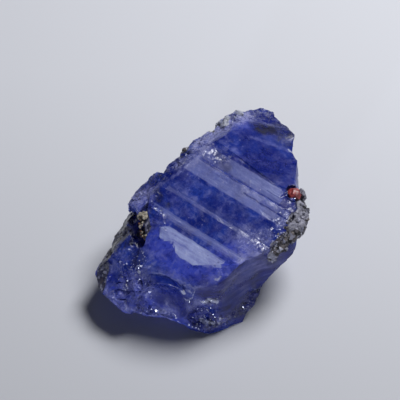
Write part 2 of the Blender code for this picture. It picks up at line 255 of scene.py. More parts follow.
rightEdge = [(-1.4, -5.0, 6.1), (-0.2, -5.0, 6.3), (1.0, -4.9, 6.5), (2.2, -4.7, 6.6)]
lowLedge = [(-7.0, -3.6, 1.0), (-5.8, -5.0, 1.1), (-4.0, -5.6, 1.4), (-2.2, -5.8, 2.0)]
chipFold = [(-7.35, -1.7, 4.1), (-7.33, -2.0, 3.6), (-7.33, -2.45, 3.5), (-7.16, -2.8, 4.0),
            (-6.9, -2.85, 4.8)]
zones = {
    # crushed facets, in relief and in the bump
    "broken": [
        (backRim, 1.2, 0.9), (leftRim, 1.3, 0.9), (footRim, 1.0, 0.6), (footEdge, 1.0, 0.55),
        (ridge, 0.4, 0.3), (rightEdge, 0.9, 0.7), (lowLedge, 1.0, 0.6), (hollowRidge, 0.5, 0.5),
        ([(-8.3, 2.6, 4.3), (-8.9, 1.2, 3.7)], 1.7, 0.5), ([(-9.6, 2.6, 2.9), (-9.5, 0.8, 2.8)], 1.4, 0.35),
        ([(-6.8, -3.9, 1.5)], 2.0, 0.7), ([(-1.2, -4.2, 6.2), (0.1, -4.6, 6.4)], 0.9, 0.45),
        ([(10.2, 2.0, 4.8)], 1.1, 0.6), ([(-3.2, 4.5, 6.4), (-4.2, 3.4, 6.2), (-4.9, 2.6, 6.0)], 0.9, 0.4),
        ([(2.6, 4.1, 7.2), (2.8, 2.6, 7.2)], 0.8, 0.28), ([(-6.5, -3.7, 3.5), (-5.8, -4.2, 3.7)], 0.45, 0.9),
        ([(-8.6, 0.6, 4.5), (-7.9, -0.3, 4.4), (-7.5, -1.2, 4.3)], 0.4, 0.5),
    ],
    # frosted haze
    "milky": [
        ([(8.0, 4.7, 5.4), (6.7, 4.8, 6.0), (5.4, 5.0, 6.2)], 1.35, 1.2),
        ([(5.1, 5.2, 6.2), (3.5, 4.9, 6.8), (2.6, 4.6, 7.0)], 1.15, 1.1),
        ([(0.5, 4.6, 7.0), (1.3, 4.4, 7.1)], 1.0, 0.62), ([(2.4, 3.6, 7.2)], 0.9, 0.3),
        ([(-3.3, 5.4, 6.0), (-3.9, 5.6, 5.7)], 1.3, 0.85), ([(1.0, -4.7, 6.5), (2.4, -4.6, 6.6)], 0.5, 0.35),
        ([(-0.8, -4.3, 6.3), (-2.0, -4.1, 6.1), (-1.2, -3.3, 6.3)], 1.35, 0.62), (ridge, 0.12, 0.18),
        (hollowRidge, 0.16, 0.4), (footEdge, 0.6, 0.5),
        ([(-0.6, -5.7, 4.7), (-1.7, -5.3, 5.1), (-3.8, -4.8, 4.8)], 1.3, 0.22),
        ([(-7.3, -2.9, 3.0), (-6.9, -3.2, 3.4)], 0.75, 0.35),
        ([(-9.0, -0.3, 1.7), (-8.2, -1.3, 1.7)], 0.55, 0.6), ([(-4.5, 4.6, 6.3), (-5.0, 4.3, 6.1)], 0.5, 0.7),
        ([(0.0, 4.1, 7.2), (-1.3, 4.5, 6.9)], 0.14, 0.5),
        ([(6.4, 2.5, 6.3), (7.15, 1.1, 5.8), (7.8, -0.4, 5.5)], 0.28, 0.32),
        ([(-9.3, 1.6, 3.2), (-8.4, 0.9, 3.7)], 1.5, 0.4), ([(-6.5, 1.2, 5.5), (-7.0, 2.4, 5.2)], 0.4, 0.25),
    ],
    # host rock stains
    "rocky": [
        (leftRim, 0.85, 1.0), (footRim, 0.75, 0.62),
        ([(-4.2, 6.2, 5.4), (-2.6, 6.2, 5.9), (-1.2, 6.0, 6.1)], 0.35, 0.3), ([(1.9, 5.7, 6.4)], 0.65, 1.0),
        ([(5.0, 5.5, 6.0)], 0.45, 1.0), ([(-0.5, 6.0, 6.2)], 0.4, 0.4),
        ([(-4.8, 4.1, 6.0), (-5.5, 3.4, 5.8), (-5.2, 4.1, 3.9)], 0.55, 1.0),
        ([(2.4, -5.2, 6.2), (1.1, -5.6, 5.9), (-0.3, -5.6, 5.8)], 0.85, 1.0), ([(3.9, -4.6, 5.6)], 0.6, 0.8),
    ],
    # navy, nearly black: painted shade in the hollows and recesses, and dark patches of the stone itself
    "dark": [
        (leftRim, 0.6, 0.55), ([(-5.9, 5.1, 4.2), (-6.6, 4.9, 4.3)], 0.7, 0.8),
        ([(-4.3, 5.7, 4.2), (-5.0, 5.3, 3.9), (-5.4, 4.7, 3.6), (-5.7, 4.1, 3.5)], 1.1, 0.55),
        ([(-5.9, 4.8, 4.6), (-6.6, 4.4, 4.9), (-7.1, 4.3, 4.8)], 0.8, 1.0),
        ([(7.9, 3.05, 5.85), (8.0, 2.5, 5.7), (8.5, 2.2, 5.5)], 0.95, 1.0),
        ([(8.5, 2.1, 5.5), (9.0, 1.3, 5.3), (9.1, 0.8, 5.1)], 0.95, 0.75),
        ([(-6.7, 4.0, 5.0), (-6.9, 4.6, 4.6), (-6.1, 4.2, 5.3)], 0.75, 0.95),
        ([(8.4, 0.6, 5.3), (9.3, 1.6, 5.0)], 1.3, 0.65), ([(-0.54, -5.53, 5.74)], 0.45, 1.0),
        ([(-7.5, 2.4, 5.0)], 1.0, 0.6), ([(-3.0, 4.0, 6.5), (-2.6, 4.5, 6.5)], 0.5, 0.75),
        ([(-3.0, 3.2, 6.5)], 0.4, 0.7), ([(2.8, 2.9, 7.2), (2.4, 1.6, 7.1)], 0.5, 0.4),
        ([(-4.8, -5.3, 1.4), (-2.2, -5.7, 1.7)], 0.8, 0.5), ([(-9.4, 1.9, 3.3)], 0.7, 0.4),
        ([(-0.5, -5.4, 5.4), (-0.9, -5.6, 4.6)], 0.7, 0.6),
        ([(-4.9, -4.7, 2.6), (-4.6, -5.2, 1.7)], 1.3, 0.35), ([(3.5, 3.1, 7.0), (4.6, 3.0, 6.9)], 0.35, 0.4),
    ],
    # painted light: the blue is painted brightest where light would come through the crystal
    "paintedGlow": [
        ([(-5.6, 1.6, 5.8), (-6.2, -0.8, 5.7), (-4.6, -2.9, 5.6), (-2.6, -4.0, 5.9)], 1.9, 1.0),
        (footEdge, 1.9, 0.7), ([(-9.4, 1.6, 3.3), (-9.2, 0.4, 2.6)], 1.9, 0.9),
        ([(-8.3, -1.2, 1.9), (-7.4, -2.6, 1.9)], 1.1, 0.7), ([(-3.6, 4.9, 6.1)], 1.2, 0.4),
        ([(6.2, 3.4, 6.5), (8.6, 3.9, 5.6), (9.9, 3.0, 4.9)], 1.0, 0.35),
        ([(-1.2, -5.3, 5.2), (-3.4, -4.8, 5.0)], 1.1, 0.5),
    ],
    # the deepest, darkest blue
    "inky": [
        ([(6.2, 1.9, 6.5), (5.2, 0.5, 6.8), (4.9, -0.9, 6.7)], 2.2, 0.95),
        ([(5.6, -2.2, 6.3), (7.6, 0.4, 5.6)], 2.0, 0.45), ([(-9.2, 2.2, 3.5)], 1.0, 0.4),
        ([(8.8, 3.2, 5.4), (9.6, 2.4, 5.0), (8.9, 1.4, 5.3)], 1.8, 0.85),
        ([(-5.6, -4.8, 2.7), (-3.4, -5.2, 2.6), (-1.6, -5.8, 2.8)], 1.6, 0.7),
        ([(-1.4, 0.2, 6.5), (-0.3, -1.5, 6.6)], 1.3, 0.45), ([(-2.4, -0.4, 6.4)], 1.3, 0.5),
        ([(-7.4, 2.4, 5.0)], 1.2, 0.6), ([(-8.1, -0.6, 2.9)], 1.0, 0.8),
        ([(-7.9, -0.4, 4.0), (-7.5, -1.2, 3.5), (-7.5, -2.2, 2.9)], 1.7, 1.0),
    ],
    # clusters of sparkling points: painted glints, which also get a glossy coat
    "glint": [
        ([(2.3, 4.2, 7.3), (2.6, 3.7, 7.2)], 0.45, 0.3), ([(0.2, -4.3, 6.5), (0.1, -4.9, 6.4)], 0.5, 0.5),
        ([(-0.9, -4.5, 6.2), (-1.3, -5.0, 6.1)], 0.4, 0.5), (leftRim, 0.9, 0.9), (ridge, 0.22, 0.25),
        ([(-7.5, 2.4, 5.0), (-8.2, 1.7, 4.5)], 1.0, 0.9), ([(-9.0, 2.8, 3.7)], 0.7, 0.6),
        ([(-9.4, 1.2, 3.2)], 1.5, 0.8), ([(-8.9, 0.2, 2.4)], 1.2, 0.6),
        ([(9.0, 1.7, 5.3), (9.1, 0.5, 5.1)], 0.7, 0.4), (lowLedge, 0.9, 0.7), (rightEdge, 0.5, 0.4),
        ([(-6.9, -3.8, 1.2), (-6.1, -4.7, 1.1)], 0.8, 1.0),
        ([(-6.5, -3.65, 3.5), (-5.8, -4.2, 3.7)], 0.35, 1.0),
        ([(-8.9, -0.4, 1.7), (-8.2, -1.2, 1.7)], 0.6, 0.7), ([(-3.9, 5.8, 5.8), (-3.2, 5.6, 6.0)], 0.5, 0.6),
        (backRim, 0.6, 0.5), (footRim, 0.8, 0.6), ([(4.3, -3.1, 6.8)], 0.5, 0.4),
    ],
    # satin edges that don't mirror the light
    "satin": [(ridge, 0.6, 0.8)],
    # thin pale ledges on the grey side
    "ledges": [
        ([(-4.9, -5.1, 2.3), (-3.6, -5.3, 2.7), (-2.4, -5.5, 3.2), (-1.4, -5.8, 3.6)], 0.16, 0.8),
        ([(-4.2, -5.0, 3.3), (-2.9, -5.1, 3.9)], 0.13, 0.6),
        ([(-0.9, -5.5, 4.9), (-0.2, -5.6, 5.2)], 0.4, 0.6),
        ([(-2.6, -5.7, 1.9), (-1.5, -6.0, 2.5), (-0.9, -6.1, 3.1)], 0.16, 0.8),
        ([(-5.2, -4.3, 4.3), (-3.9, -4.8, 4.6), (-2.3, -5.1, 5.1)], 0.3, 0.5),
        ([(-6.9, -3.2, 3.4), (-6.2, -3.8, 3.2), (-5.4, -4.3, 3.3)], 0.3, 0.6),
        ([(-8.4, -0.9, 1.8), (-7.5, -2.3, 1.7)], 0.35, 0.6),
    ],
    # single bright chips and flecks, and painted glints
    "white": [
        ([(2.78, -0.48, 6.96), (2.15, -0.85, 6.94)], 0.2, 0.42), (chipFold, 0.13, 0.55),
        ([(-7.39, -2.02, 4.45), (-7.38, -2.1, 4.2)], 0.24, 1.0), ([(2.54, -1.58, 6.87)], 0.11, 0.8),
        ([(7.8, -0.25, 5.5), (7.75, -0.65, 5.5)], 0.15, 0.9), ([(2.79, -1.88, 6.87)], 0.12, 0.9),
        ([(5.33, 2.75, 6.78)], 0.16, 0.5), ([(3.0, 2.57, 7.23)], 0.13, 0.8),
        ([(-8.19, 1.73, 4.46)], 0.22, 0.9), ([(-9.04, 2.76, 3.73)], 0.16, 0.8),
        ([(-5.34, -3.67, 5.28), (-5.0, -3.8, 5.35)], 0.2, 0.7), ([(-6.51, -3.65, 3.53)], 0.15, 0.8),
        ([(-6.14, -4.77, 1.01)], 0.3, 0.7),
        ([(-6.9, -3.5, 1.25), (-6.85, -4.04, 1.4), (-6.46, -4.33, 1.11)], 0.3, 0.7),
        ([(-6.66, -3.47, 3.51), (-6.22, -3.81, 3.61), (-5.87, -4.23, 3.34)], 0.32, 0.8),
        ([(-4.21, -4.56, 3.41)], 0.13, 0.4), ([(-1.1, -4.95, 6.1), (-1.35, -5.0, 6.1)], 0.16, 0.8),
        ([(-6.1, -2.6, 5.35)], 0.14, 0.5), ([(-5.3, 0.8, 5.9), (-5.6, 0.1, 5.9)], 0.12, 0.5),
    ],
}


def nodeMesh(nodeName):
    # a copy of a solid in millimetres, with its loose triangles joined
    weldGap = 0.0004
    bm = bmesh.new()
    bm.from_mesh(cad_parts[nodeName].data)
    bmesh.ops.scale(bm, vec=(1 / millimetre,) * 3, verts=bm.verts[:])
    bmesh.ops.remove_doubles(bm, verts=bm.verts[:], dist=weldGap)
    return bm


def refine(bm, cuts):
    bmesh.ops.subdivide_edges(bm, edges=bm.edges[:], cuts=cuts, use_grid_fill=True)
    bmesh.ops.triangulate(bm, faces=bm.faces[:])
    bm.normal_update()


def smoothVerts(bm, verts, rounds):
    for _ in range(rounds):
        bmesh.ops.smooth_vert(bm, verts=verts, factor=0.5, use_axis_x=True, use_axis_y=True,
                              use_axis_z=True)


def cornersOf(bm):
    return np.array([vert.co[:] for vert in bm.verts])


def nearLine(points, line):
    # distance of every point to a line of several stretches
    best = np.full(len(points), 1e9)
    stretches = list(zip(line, line[1:])) or [(line[0], line[0])]
    for start, end in stretches:
        start = np.array(start, float)
        run = np.array(end, float) - start
        share = np.clip((points - start) @ run / max(run @ run, 1e-9), 0.0, 1.0)
        best = np.minimum(best, np.linalg.norm(points - start - share[:, None] * run, axis=1))
    return best


def paintZones(points, lines):
    softShare = 0.6  # a zone fades over this share of its reach
    total = np.zeros(len(points))
    for line, reach, strength in lines:
        share = np.clip((reach - nearLine(points, line)) / (reach * softShare), 0.0, 1.0)
        total = np.maximum(total, strength * share * share * (3 - 2 * share))
    return total


def chip(point, size, seed):
    # the surface of a broken cell: flat, leaning its own way and at its own height
    place = point / size + Vector((seed, seed, seed))
    middle = noise.voronoi(place)[1][0]
    leaning = Vector((noise.noise(middle * 3.7), noise.noise(middle * 4.9), noise.noise(middle * 6.1)))
    return 1.5 * leaning.dot(place - middle) + 0.6 * noise.noise(middle * 5.3)


def shiftCorners(bm):
    for vert in bm.verts:
        point = vert.co.copy()
        for middle, reach, move in shifts:
            share = max(0.0, 1.0 - (point - Vector(middle)).length / reach)
            vert.co += Vector(move) * share * share * (3 - 2 * share)


def keepInBox(bm):
    for vert in bm.verts:
        for axis in range(3):
            vert.co[axis] = min(max(vert.co[axis], boxLow[axis]), boxHigh[axis])


def paintOn(piece, name, values):
    layer = piece.data.attributes.new(name, "FLOAT", "POINT")
    layer.data.foreach_set("value", np.asarray(values, np.float32))


def newObject(name, bm, material):
    mesh = bpy.data.meshes.new(name)
    bm.to_mesh(mesh)
    bm.free()
    mesh.materials.append(material)
    made = bpy.data.objects.new(name, mesh)
    scene.collection.objects.link(made)
    return made


def newPiece(name, bm, material):
    bmesh.ops.scale(bm, vec=(millimetre,) * 3, verts=bm.verts[:])
    piece = newObject(name, bm, material)
    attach(piece, "root")
    return piece


def moveCorners(bm, moves):
    for vert, move in zip(bm.verts, moves):
        vert.co += move


def closeSeat(bm):
    radius = stoneShape["seatRadius"]
    for vert in bm.verts:
        fromGrain = vert.co - grainPlace
        if fromGrain.length < stoneShape["seatReach"]:
            vert.co = grainPlace + fromGrain * (radius / max(fromGrain.length, radius))


def evenCalmSpots(bm):
    # the coarse facets of the smooth faces blend, apart from the sharp ones and the crisp crease
    corners = cornersOf(bm)
    evenness = paintZones(corners, calmSpots) * (nearLine(corners, crispEdge) > stoneShape["calmCrease"])
    evened = [vert for vert, value in zip(bm.verts, evenness) if value > 0.3
              and all(edge.calc_face_angle(0.0) < stoneShape["calmAngle"] for edge in vert.link_edges)]
    smoothVerts(bm, evened, stoneShape["calmRounds"])


def readMasks(points, normals):
    # the painted zones, the striped face and the dusky side, and where edges have to stay crisp
    face, side = stripedFace, duskySide
    masks = {name: paintZones(points, lines) for name, lines in zones.items()}
    normal = np.array(face["normal"])
    offFace = (points - np.array(face["point"])) @ normal
    facing = normals @ normal
    climb = points @ np.array(upStone)
    fromGrain = np.linalg.norm(points - np.array(grainPlace), axis=1)
    onFace = (fromGrain > face["grainGap"]) & (np.abs(offFace) < face["depth"])
    striped = onFace & (facing > face["facing"]) & (climb > face["from"]) & (climb < face["to"])
    masks["striped"] = striped.astype(float)
    steps = onFace & (facing > face["stepFacing"]) & (climb > face["stepFrom"]) & (climb < face["stepTo"])
    steps &= (masks["broken"] < 0.1) & (masks["milky"] < 0.1)
    sideNormal = np.array((math.cos(side["turn"]) * side["level"], math.sin(side["turn"]) * side["level"],
                           side["upward"]))
    masks["dusky"] = (np.clip((normals @ sideNormal - side["facing"]) / side["facingFade"], 0, 1)
                      * np.clip((side["edge"] - points[:, 1]) / side["edgeFade"], 0, 1))
    under = np.clip((-normals[:, 2] - 0.05) / 0.3, 0, 1)
    masks["broken"] = np.maximum(masks["broken"], under * stoneShape["underBroken"])
    crisp = (nearLine(points, crispEdge) < stoneShape["creaseReach"]) | steps
    return masks, striped, crisp


def sideWrinkle(point):
    # long and low, running along the side, deeper towards the floor
    shape = stoneShape
    lowness = min(1.0, max(0.0, (shape["wrinkleTop"] - point.z) / shape["wrinkleFade"]))
    place = Vector((point.x * 0.22 - point.z * 0.12, point.y * 0.3, point.z * 1.9 + point.x * 0.3))
    return shape["wrinkle"] + shape["lowWrinkle"] * lowness, noise.noise(place)


def raiseRelief(bm, masks, striped):
    shape = stoneShape
    faint = 0.02  # relief weaker than this is left out
    moves = []
    for vert in bm.verts:
        point, onStripes = vert.co.copy(), striped[vert.index]
        broken = masks["broken"][vert.index] * (shape["stripedChips"] if onStripes else 1.0)
        dusky = masks["dusky"][vert.index]
        height = shape["swell"] * noise.noise(point * 0.9) * (0.0 if onStripes else 1.0)
        if broken > faint:
            for depth, size, seed in shape["chips"]:
                height += broken * depth * chip(point, size, seed)
        if dusky > faint:
            depth, wrinkle = sideWrinkle(point)
            height += depth * dusky * wrinkle
        moves.append(vert.normal * min(height, shape["outward"]) * min(1.0, point.z / shape["floorFade"]))
    moveCorners(bm, moves)


def markSharp(bm, masks, striped, crisp):
    for face in bm.faces:
        rough = max(masks["broken"][vert.index] for vert in face.verts)
        flat = all(striped[vert.index] for vert in face.verts)
        face.smooth = bool(rough < 0.3 and not flat)
    for edge in bm.edges:
        creased = all(crisp[vert.index] for vert in edge.verts)
        turned = edge.calc_face_angle(0.0) > stoneShape["creaseAngle" if creased else "sharpAngle"]
        if turned or len({face.smooth for face in edge.link_faces}) > 1:
            edge.smooth = False


def buildStone(material):
    bm = nodeMesh("tanzanite")
    closeSeat(bm)
    evenCalmSpots(bm)
    shiftCorners(bm)
    refine(bm, stoneShape["cuts"])
    normals = np.array([vert.normal[:] for vert in bm.verts])
    masks, striped, crisp = readMasks(cornersOf(bm), normals)
    bm.verts.index_update()
    held = striped | crisp
    calm = [vert for vert in bm.verts
            if masks["broken"][vert.index] < 0.25 and not held[vert.index] and vert.co.z > 0.02]
    smoothVerts(bm, calm, stoneShape["smoothRounds"])
    bm.normal_update()
    raiseRelief(bm, masks, striped)
    keepInBox(bm)
    bm.normal_update()
    markSharp(bm, masks, striped, crisp)
    piece = newPiece("tanzaniteStone", bm, material)
    for name, values in masks.items():
        paintOn(piece, name, values)
    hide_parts("tanzanite")
    print("stone:", len(piece.data.polygons), "triangles")
    return piece


stainTones = [(0.0, (0.012, 0.012, 0.022)), (0.34, (0.045, 0.044, 0.07)), (0.58, (0.1, 0.1, 0.15)),
              (0.76, (0.05, 0.036, 0.03)), (0.9, (0.3, 0.3, 0.38))]
# colours of the crystal, from its deepest blue to its frost; glow is painted light coming through, night is
# also the painted shade of the hollows, the bands are milky with a painted sheen of the light, and white
# paints bright chips and painted glints
crystalLook = {
    "deep": (0.006, 0.02, 0.25, 1), "royal": (0.022, 0.056, 0.42, 1), "violet": (0.08, 0.082, 0.42, 1),
    "paintedGlow": (0.072, 0.104, 0.7, 1), "milk": (0.36, 0.38, 0.76, 1), "band": (0.27, 0.31, 0.7, 1),
    "paleBand": (0.43, 0.5, 0.91, 1), "inky": (0.004, 0.012, 0.2, 1), "dusk": (0.034, 0.037, 0.25, 1),
    "night": (0.013, 0.014, 0.05, 1), "white": (0.66, 0.69, 0.9, 1), "absorb": (0.16, 0.2, 0.86, 1),
    "density": 300.0, "transmission": 0.42, "ior": 1.69, "shine": 0.1, "glintCoat": 0.9,
    "coatRoughness": 0.12, "roughness": (0.12, 0.22),
    "rougher": {"satin": 0.4, "frost": 0.22, "dusky": 0.12, "stains": 0.35, "dark": 0.12},
    "facetSizes": (0.42, 0.17), "facetShare": (0.03, 0.85), "growthLines": 0.012, "gritHeight": 0.006,
}
# cloudy patterns inside it: size in millimetres, detail, roughness and distortion
crystalClouds = {
    "clouds": (2.1, 2.0, 0.5, 0.3), "patches": (1.15, 3.0, 0.55, 0.3), "veils": (0.85, 5.0, 0.62, 0.5),
    "blotches": (1.2, 3.5, 0.58, 0.3), "mottle": (0.55, 4.0, 0.62, 0.4), "grit": (0.16, 3.0, 0.6),
}
# layers of the blue: a cloud, the range of it that counts, the share at each end, a colour and a zone
blueLayers = [
    # the first layer below paints light: brighter blue where light comes through
    ("blotches", 0.36, 0.56, 0.45, 1.0, "paintedGlow", "paintedGlow"), ("patches", 0.5, 0.7, 0.0, 0.55, "violet", None),
    ("clouds", 0.36, 0.62, 1.0, 0.55, "inky", "inky"), ("veils", 0.5, 0.72, 0.0, 0.34, "milk", "clear"),
    ("mottle", 0.52, 0.68, 0.0, 0.3, "milk", "clear"), ("mottle", 0.46, 0.34, 0.0, 0.6, "inky", None),
    ("blotches", 0.52, 0.68, 0.0, 0.62, "inky", None), ("grit", 0.55, 0.75, 0.0, 0.1, "milk", None),
]
sideLayers = [
    ("streaks", 0.52, 0.7, 0.0, 0.34, "milk", "dusky"), ("streaks", 0.48, 0.32, 0.0, 0.75, "night", "dusky"),
    ("grit", 0.35, 0.6, 0.1, 0.7, "milk", "ledges"),
]
# pale flecks and dark specks: cell size, share of the cells, reach, strength and colour
crystalSpecks = [(0.3, 0.1, 0.22, 0.45, "milk"), (0.5, 0.14, 0.24, 0.55, "deep")]
# where each band ends up the stone, in millimetres, and how pale it is; the paleness is the bands' milkiness
# with a painted sheen of the light
bandEdges = [(-5.9, 0.0), (-4.08, 0.95), (-3.64, 0.05), (-3.42, 0.34), (-3.06, 0.6), (-1.62, 0.0),
             (-1.27, 0.22), (-0.95, 0.09), (-0.25, 0.0), (0.25, 0.07), (0.52, 0.0), (1.45, 0.56),
             (2.01, 0.46), (2.68, 0.44), (3.36, 0.48)]
bandSpan = (-6.5, 4.5)  # what the ramp covers up the stone
bandLength = (-4.4, 5.3)  # how far the bands run along the stripes
# they are streaked along their length and cloudy, and the upper one pales to the right
bandStyle = {
    "streakStretch": (3.2, 0.45), "streaked": (0.7, 1.16), "clouded": (1.06, 0.8),
    "upperStart": (1.98, 2.06), "upperRun": (-1.6, 0.6), "upperChange": (-0.15, 0.5),
    "palestFrom": 0.6, "palestGain": 2.6, "lineStrength": 0.95, "notchStrength": 0.8,
}
# the lowest band is cut off by slanting ends; each end has its limit, its start and its slope
lowestBand = {
    "top": -4.08, "height": 1.77, "foot": -5.89, "footSlope": 0.28,
    "left": (-2.95, -2.3, 1.67), "right": (2.97, 3.87, 1.39), "restAbove": -4.05,
}
# thin dark lines: where they lie up the stone and along the stripes, and how strong they are
darkLines = [((1.86, 1.98), (-3.6, 0.2), 1.0), ((1.3, 1.44), (0.9, 5.2), 1.0),
             ((2.62, 2.7), (2.3, 3.7), 0.6)]
grainNotch = ((2.12, 2.95), (3.75, 5.0))


def bandRamp(tree, climb):
    edgeBlur = 0.025
    ramp = addNode(tree, "ValToRGB", {0: rescale(tree, climb, *bandSpan)})
    stops = ramp.color_ramp.elements
    stops.remove(stops[1])
    stops[0].position = 0.0
    stops[0].color = (0, 0, 0, 1)
    following = [value for _, value in bandEdges[1:]] + [0.0]
    for (edge, value), nextValue in zip(bandEdges, following):
        for position, level in ((edge - edgeBlur, value), (edge + edgeBlur, nextValue)):
            stop = stops.new((position - bandSpan[0]) / (bandSpan[1] - bandSpan[0]))
            stop.color = (level, level, level, 1)
    return ramp.outputs[0]


def stripePlace(tree, place, direction, size, detail, wobble):
    # how far a point lies up the stone or along its stripes, with a slightly uneven edge
    distance = vectorCalc(tree, "DOT_PRODUCT", place, direction)
    uneven = rescale(tree, noiseValue(tree, place, size, detail), 0.3, 0.7, -wobble, wobble)
    return calc(tree, "ADD", distance, uneven)


def addLayers(tree, colour, layers, mask, cloud):
    for name, low, high, least, most, tone, zone in layers:
        share = rescale(tree, cloud[name], low, high, least, most)
        if zone:
            share = times(tree, share, mask[zone])
        colour = blendColour(tree, share, colour, crystalLook[tone])
    return colour


def lowestBandMask(tree, climb, along):
    # the lowest band's slanting outline, and everything above it
    band = lowestBand
    fromTop = calc(tree, "SUBTRACT", band["top"], climb)
    foot = calc(tree, "SUBTRACT", band["foot"], times(tree, along, band["footSlope"]))
    inside = [calc(tree, "GREATER_THAN", climb, foot), calc(tree, "LESS_THAN", fromTop, band["height"])]
    for end, nearest, compare in (("left", "MAXIMUM", "GREATER_THAN"), ("right", "MINIMUM", "LESS_THAN")):
        limit, start, slope = band[end]
        corner = calc(tree, nearest, limit, calc(tree, "SUBTRACT", start, times(tree, fromTop, slope)))
        inside.append(calc(tree, compare, along, corner))
    return calc(tree, "MAXIMUM", times(tree, *inside), calc(tree, "GREATER_THAN", climb, band["restAbove"]))


def addBands(tree, blue, mask, cloud, climb, along):
    look, style = crystalLook, bandStyle
    stretched = [times(tree, *pair) for pair in zip((climb, along), style["streakStretch"])]
    streakPlace = addNode(tree, "CombineXYZ", dict(enumerate(stretched))).outputs[0]
    streaks = noiseValue(tree, streakPlace, 1.0, 4.0, 0.6)
    # the pale bands: milky stripes with a painted sheen of the light on their facets
    pale = times(tree, bandRamp(tree, climb), lowestBandMask(tree, climb, along))
    streaked = rescale(tree, streaks, 0.3, 0.7, *style["streaked"])
    clouded = rescale(tree, cloud["patches"], 0.34, 0.62, *style["clouded"])
    pale = times(tree, pale, between(tree, along, *bandLength), streaked, clouded, mask["striped"])
    upper = times(tree, rescale(tree, climb, *style["upperStart"]),
                  rescale(tree, along, *style["upperRun"], *style["upperChange"]))
    pale = times(tree, pale, calc(tree, "ADD", upper, 1.0))
    blue = blendColour(tree, pale, blue, look["band"])
    palest = calc(tree, "SUBTRACT", pale, style["palestFrom"])
    palest = calc(tree, "MULTIPLY", palest, style["palestGain"], clamp=True)
    blue = blendColour(tree, palest, blue, look["paleBand"])

    # thin dark lines on the broad bands, and the blue notch beside the red grain
    lines = 0.0
    for climbRange, alongRange, strength in darkLines:
        line = times(tree, between(tree, climb, *climbRange), between(tree, along, *alongRange), strength)
        lines = calc(tree, "MAXIMUM", lines, line)
    lines = times(tree, lines, mask["striped"], style["lineStrength"])
    blue = blendColour(tree, lines, blue, look["deep"])
    notch = times(tree, between(tree, climb, *grainNotch[0]), between(tree, along, *grainNotch[1]))
    return blendColour(tree, times(tree, notch, style["notchStrength"]), blue, look["dusk"]), streaks


def addSideAndFrost(tree, place, blue, mask, cloud):
    # dusky side with its level streaks and ledges, then frost, then painted shade, nearly black, in the
    # hollows and on dark patches
    look = crystalLook
    dusk = rescale(tree, cloud["clouds"], 0.44, 0.66, 0.0, 0.6)
    dusk = blendColour(tree, dusk, look["dusk"], look["royal"])
    colour = blendColour(tree, times(tree, mask["dusky"], 0.85), blue, dusk)
    levels = vectorCalc(tree, "MULTIPLY", place, (0.45, 0.45, 2.6))  # drawn out along the side
    cloud["streaks"] = noiseValue(tree, levels, 1.0, 4.0, 0.62, 0.4)
    colour = addLayers(tree, colour, sideLayers, mask, cloud)
    frost = rescale(tree, noiseValue(tree, place, 0.32, 4.0, 0.7), 0.36, 0.6, 0.15, 1.0)
    frost = calc(tree, "MULTIPLY", mask["milky"], frost, clamp=True)
    colour = blendColour(tree, frost, colour, look["milk"])
    # painted shade: the hollows and dark patches blend towards night
    shadow = rescale(tree, calc(tree, "ADD", cloud["blotches"], cloud["mottle"]), 0.84, 1.08, 0.25, 1.0)
    shadow = calc(tree, "MULTIPLY", mask["dark"], shadow, clamp=True)
    return blendColour(tree, shadow, colour, look["night"]), frost


def addStains(tree, place, colour, mask, cloud):
    # host rock stains with brown, grey and black grains
    grains = useGroup(tree, brokenFacets, Place=place, Size=0.2)
    amount = calc(tree, "ADD", mask["rocky"], times(tree, cloud["patches"], 0.8))
    amount = rescale(tree, amount, 0.66, 0.9)
    amount = times(tree, amount, calc(tree, "GREATER_THAN", mask["rocky"], 0.02))
    tones = toneRamp(tree, grains["Chance"], stainTones)
    return blendColour(tree, times(tree, amount, 0.92), colour, tones), amount


def addSparkles(tree, place, colour, mask, cloud):
    # pale flecks and dark specks everywhere, painted glints in clusters, and a few bright chips, some of them
    # painted glints
    look = crystalLook
    for size, share, reach, strength, tone in crystalSpecks:
        specks = useGroup(tree, speckle, Place=place, Size=size, Share=share, Reach=reach)["Mask"]
        colour = blendColour(tree, times(tree, specks, strength), colour, look[tone])
    points = useGroup(tree, speckle, Place=place, Size=0.15, Share=0.3, Reach=0.4)
    points = times(tree, points["Mask"], rescale(tree, points["Chance"], 0.0, 1.0, 0.15, 0.9))
    chips = rescale(tree, calc(tree, "ADD", mask["white"], times(tree, cloud["grit"], 0.8)), 0.75, 1.3)
    chips = times(tree, chips, calc(tree, "GREATER_THAN", mask["white"], 0.01))
    sparkles = calc(tree, "MAXIMUM", times(tree, points, mask["glint"]), chips)
    return blendColour(tree, calc(tree, "MINIMUM", sparkles, 0.9), colour, look["white"]), sparkles


